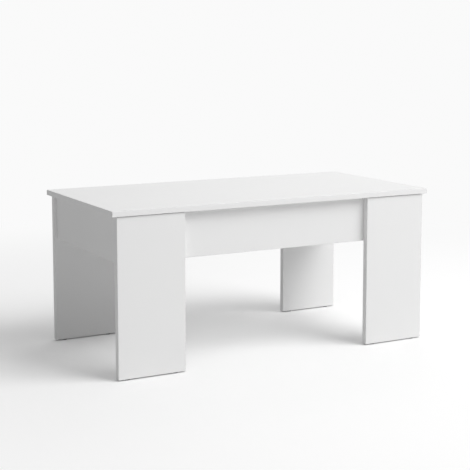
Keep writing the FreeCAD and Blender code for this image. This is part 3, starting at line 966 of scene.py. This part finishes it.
@dataclass
class LiftMechanism:
    """The swing arms, brackets, pivots and springs."""

    frame: dict
    finishes: Finishes
    rim: float = 0.35 * MM
    rib_radius: float = 4.6 * MM
    rib_height: float = 0.7 * MM
    rib_margin: float = 17.0 * MM
    rib_steps: int = 10
    rib_sides: int = 32
    flange_rim: float = 0.5 * MM
    head_dome: float = 0.7
    turned_sides: int = 40
    washer_bore: float = 4.1 * MM
    washer_rim: float = 0.25 * MM

    def build(self) -> None:
        """Build both sides."""
        plates = {"front_arm": "front_lift_arm", "rear_arm": "rear_lift_arm"}
        plates.update(base_bracket="base", top_bracket="top")
        for side in Side:
            for order, (plate, body) in enumerate(plates.items()):
                node = f"{side.word}_{plate}"
                piece = rounded_copy(self.frame, node, f"{node}_stamped", self.rim, self.finishes.steel)
                if body.endswith("arm"):
                    self.rib(piece, node, side, order)
                    body = f"{side.word}_{body}"
                keep(piece, body, Slot.STEEL, node)
            self.spring(side)
        self.pins()
        self.washers()

    def rib(self, arm: bpy.types.Object, node: str, side: Side, order: int) -> None:
        """Press a stiffening rib into an arm's inboard face.

        The rib is a capsule on the line between the arm's two pivots, squashed
        across the plate to the rib's height.

        Args:
            arm: the arm, which gets the rib.
            node: its CAD node.
            side: its end of the table.
            order: 0 for the front arm and 1 for the rear one.
        """
        pins = ("base_pivot_pins", "top_pivot_pins")
        ends = [on_side(solid_boxes(self.frame, pin), side)[order].centre for pin in pins]
        plate = Box.of(node)
        face = plate.high[0] if side is Side.LEFT else plate.low[0]
        line = (ends[1] - ends[0]) * [0, 1, 1]
        reach = float(np.linalg.norm(line))
        axis = line / reach
        start = np.array([face, *ends[0][1:]]) + axis * self.rib_margin
        length = reach - 2 * self.rib_margin
        first = rounded_corner(self.rib_radius, 0.0, self.rib_radius, self.rib_steps, rising=False)
        last = rounded_corner(self.rib_radius, length, self.rib_radius, self.rib_steps)
        grid = turned(np.concatenate([first, last]), start, axis, self.rib_sides)
        grid[..., 0] = face + (grid[..., 0] - face) * self.rib_height / self.rib_radius
        builder = MeshBuilder()
        builder.add_grid(grid, cap=(True, True), cap_smooth=True)
        join_by(arm, builder.build(f"{node}_rib", [self.finishes.steel]), "UNION")

    def spring(self, side: Side) -> None:
        """Build one side's spring, with loops sized for how far it shortens as its arm swings up."""
        anchor = on_side(solid_boxes(self.frame, "base_spring_pins"), side)[0]
        lever = Box.of(f"{side.word}_arm_spring_pin")
        joint = "lift" if side is Side.LEFT else "right_rear_arm_swing"
        pivot = [one for one in self.frame["joints"] if one["name"] == joint][0]["pos_m"][1]
        closed = anchor.centre[1] - lever.centre[1]
        opened = anchor.centre[1] - (2 * pivot - lever.centre[1])
        body = Box.of(f"{side.word}_spring")
        coil = Coil(body.centre[0], body.centre[2], lever.centre[1], anchor.centre[1], opened / closed)
        piece = coil.build(f"{side.word}_spring_coil", self.finishes.spring)
        keep(piece, "base", Slot.ZINC, f"{side.word}_spring")
        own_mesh(piece)

    def pins(self) -> None:
        """Build the pivot and spring pins: turned shanks with domed heads."""
        # body, then the head's height, the shank's radius, the flange's height and the head's step
        groups = {
            "base_pivot_pins": ("base", 2.5 * MM, 4.0 * MM, 0.0, 0.0),
            "top_pivot_pins": ("top", 1.5 * MM, 4.0 * MM, 1.8 * MM, 1.0 * MM),
            "base_spring_pins": ("base", 1.5 * MM, 2.5 * MM, 0.0, 0.0),
            "left_arm_spring_pin": ("left_rear_lift_arm", 1.5 * MM, 2.5 * MM, 0.0, 0.0),
            "right_arm_spring_pin": ("right_rear_lift_arm", 1.5 * MM, 2.5 * MM, 0.0, 0.0),
        }
        for node, (body, head, shank, flange, step) in groups.items():
            builder = MeshBuilder()
            for box in solid_boxes(self.frame, node):
                inboard = -np.sign(box.centre[0]) * X_AXIS
                start = box.centre - inboard * box.size[0] / 2
                length, radius = box.size[0], box.size[1] / 2
                rows = []
                if flange:
                    rows += [rounded_corner(radius, 0.0, self.flange_rim, rising=False), [[radius, flange]]]
                rows += [[[shank, flange]], [[shank, length - head]], [[radius - step, length - head]]]
                rows += [rounded_corner(radius - step, length, head * self.head_dome)]
                profile = np.concatenate([np.array(row) for row in rows])
                builder.add_grid(turned(profile, start, inboard, self.turned_sides), cap=(True, True))
            keep(builder.build(f"{node}_domed", [self.finishes.zinc]), body, Slot.ZINC, node)

    def washers(self) -> None:
        """Build the nylon washers as rings with softened rims."""
        for node, body in (("base_pivot_washers", "base"), ("top_pivot_washers", "top")):
            builder = MeshBuilder()
            for box in solid_boxes(self.frame, node):
                outer, inner, thick = box.size[1] / 2, self.washer_bore, box.size[0]
                fillet = self.washer_rim
                profile = np.concatenate(
                    [
                        [[inner, 0.0], [inner + fillet, 0.0]],
                        rounded_corner(outer, 0.0, fillet, 4, rising=False),
                        rounded_corner(outer, thick, fillet, 4),
                        [[inner + fillet, thick], [inner, thick]],
                    ]
                )
                start = box.centre - X_AXIS * thick / 2
                builder.add_grid(turned(profile, start, X_AXIS, self.turned_sides), loop=True)
            keep(builder.build(f"{node}_ring", [self.finishes.nylon]), body, Slot.NYLON, node)


# ---------------------------------------------------------------- studio
@dataclass(frozen=True)
class Softbox:
    """A square area light aimed at the table.

    Attributes:
        azimuth: degrees from the front (-Y), positive towards +X.
        height: degrees above the floor.
        distance: metres from the aim.
        size: the side of the square.
        power: watts.
    """

    name: str
    azimuth: float
    height: float
    distance: float
    size: float
    power: float

    def build(self, aim: np.ndarray) -> None:
        """Hang the light and turn it to the aim."""
        lamp = bpy.data.lights.new(self.name, "AREA")
        lamp.shape = "SQUARE"
        lamp.size = self.size
        lamp.energy = self.power
        around, up = math.radians(self.azimuth), math.radians(self.height)
        away = np.array([math.sin(around) * math.cos(up), -math.cos(around) * math.cos(up), math.sin(up)])
        light = bpy.data.objects.new(self.name, lamp)
        light.location = aim + away * self.distance
        light.rotation_euler = (math.pi / 2 - up, 0.0, around)
        bpy.context.scene.collection.objects.link(light)


@dataclass(frozen=True)
class Studio:
    """The floor, the background, the lights and the camera."""

    background: float = 0.955
    ambient: float = 0.316
    floor_shade: float = 0.8
    floor_seen: float = 0.79
    # An even glow on the floor seen by the camera, a painted fill light, and the reach within which ambient
    # occlusion dims it to painted shade near the table.
    floor_glow: float = 0.225
    shade_reach: float = 0.3
    floor_radius: float = 30.0
    floor_sides: int = 96
    near: float = 0.9
    far: float = 2.4
    aim_height: float = 0.25
    lens: float = 90.92
    sensor: float = 36.0
    shift: float = 0.12
    yaw: float = 28.267
    pitch: float = 6.839
    camera_place: tuple[float, float, float] = (-1.6450, -3.0422, 0.8955)
    lights: tuple[Softbox, ...] = (
        Softbox("key", 42.0, 45.0, 8.0, 5.6, 548.0),
        Softbox("fill", 145.0, 45.0, 3.0, 1.5, 11.0),
    )

    def build(self) -> None:
        """Build everything round the table."""
        self.world()
        self.floor()
        for light in self.lights:
            light.build(np.array([0.0, 0.0, self.aim_height]))
        self.camera()
        bpy.context.scene.view_settings.view_transform = "Standard"

    def seen(self, tree: bpy.types.NodeTree) -> bpy.types.NodeSocket:
        """A factor of 1 on rays that show the background: camera, glossy or clear."""
        path = tree.nodes.new("ShaderNodeLightPath")
        total = path.outputs["Is Camera Ray"]
        for name in ("Is Glossy Ray", "Is Transmission Ray"):
            most = tree.nodes.new("ShaderNodeMath")
            most.operation = "MAXIMUM"
            tree.links.new(total, most.inputs[0])
            tree.links.new(path.outputs[name], most.inputs[1])
            total = most.outputs[0]
        return total

    def world(self) -> None:
        """A white background, with a plain ambient light behind it."""
        world = bpy.data.worlds.new("studio")
        bpy.context.scene.world = world
        world.use_nodes = True
        tree = world.node_tree
        light, shown = tree.nodes["Background"], tree.nodes.new("ShaderNodeBackground")
        for node, strength in ((light, self.ambient), (shown, self.background)):
            node.inputs["Color"].default_value = (1.0, 1.0, 1.0, 1.0)
            node.inputs["Strength"].default_value = strength
        mix = tree.nodes.new("ShaderNodeMixShader")
        tree.links.new(self.seen(tree), mix.inputs["Fac"])
        tree.links.new(light.outputs[0], mix.inputs[1])
        tree.links.new(shown.outputs[0], mix.inputs[2])
        tree.links.new(mix.outputs[0], tree.nodes["World Output"].inputs["Surface"])

    def floor(self) -> None:
        """A pale floor that keeps the lamps' shadow near the table, deepened by painted shade, and fades to
        the background.

        Seen directly, it is lit by the lamps and by an even glow, a painted fill light, which ambient
        occlusion holds back as painted shade where something stands within its reach; to other rays it is
        plain and pale.
        """
        angle = np.linspace(0, 2 * math.pi, self.floor_sides, endpoint=False)
        radius = np.array([0.01, self.floor_radius])
        grid = np.stack([np.cos(angle), np.sin(angle), np.zeros_like(angle)], axis=1)
        builder = MeshBuilder()
        builder.add_grid(radius[:, None, None] * grid, smooth=False, cap=(True, False))
        pale = (*[self.floor_shade] * 3, 1.0)
        shader = Shader("studio_floor", Roughness=0.9, Specular_IOR_Level=0.0, Base_Color=pale)
        near = shader.node("ShaderNodeBsdfDiffuse", Color=(*[self.floor_seen] * 3, 1.0))
        # Ambient occlusion dims the glow where the table stands near the floor: painted shade under and
        # round the table, seen only by the camera.
        painted_floor_shade = shader.node("ShaderNodeAmbientOcclusion", samples=16, Distance=self.shade_reach)
        fill = shader.node("ShaderNodeMath", operation="MULTIPLY")
        fill.inputs[1].default_value = self.floor_glow
        glow = shader.node("ShaderNodeEmission")
        shader.link(painted_floor_shade.outputs["AO"], fill.inputs[0])
        shader.link(fill.outputs[0], glow.inputs["Strength"])
        both = shader.node("ShaderNodeAddShader")
        shader.link(near.outputs[0], both.inputs[0])
        shader.link(glow.outputs[0], both.inputs[1])
        away = shader.node("ShaderNodeEmission", Strength=self.background)
        place = shader.node("ShaderNodeTexCoord")
        length = shader.node("ShaderNodeVectorMath", operation="LENGTH")
        shader.link(place.outputs["Object"], length.inputs[0])
        fade = shader.node(
            "ShaderNodeMapRange", interpolation_type="SMOOTHSTEP", From_Min=self.near, From_Max=self.far
        )
        shader.link(length.outputs["Value"], fade.inputs["Value"])
        shown = shader.node("ShaderNodeMixShader")
        shader.link(fade.outputs["Result"], shown.inputs["Fac"])
        shader.link(both.outputs[0], shown.inputs[1])
        shader.link(away.outputs[0], shown.inputs[2])
        final = shader.node("ShaderNodeMixShader")
        shader.link(self.seen(shader.tree), final.inputs["Fac"])
        shader.link(shader.surface.outputs[0], final.inputs[1])
        shader.link(shown.outputs[0], final.inputs[2])
        shader.link(final.outputs[0], shader.tree.nodes["Material Output"].inputs["Surface"])
        builder.build("studio_floor", [shader.material])

    def camera(self) -> None:
        """Stand the camera left of the front, looking slightly down."""
        data = bpy.data.cameras.new("camera")
        data.lens = self.lens
        data.sensor_width = self.sensor
        data.shift_y = -self.shift
        camera = bpy.data.objects.new("camera", data)
        camera.location = self.camera_place
        camera.rotation_euler = (math.radians(90 - self.pitch), 0.0, math.radians(-self.yaw))
        bpy.context.scene.collection.objects.link(camera)
        bpy.context.scene.camera = camera


def main() -> None:
    """Load the frame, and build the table's looks and the studio."""
    logging.basicConfig(level=logging.INFO, format="%(message)s")
    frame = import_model()
    finishes = Finishes()
    Carcass(frame, finishes).build()
    Fittings(frame, finishes).build()
    LiftMechanism(frame, finishes).build()
    Studio().build()
    bpy.context.view_layer.update()
    LOG.info("sizes written")


if __name__ == "__main__":
    main()
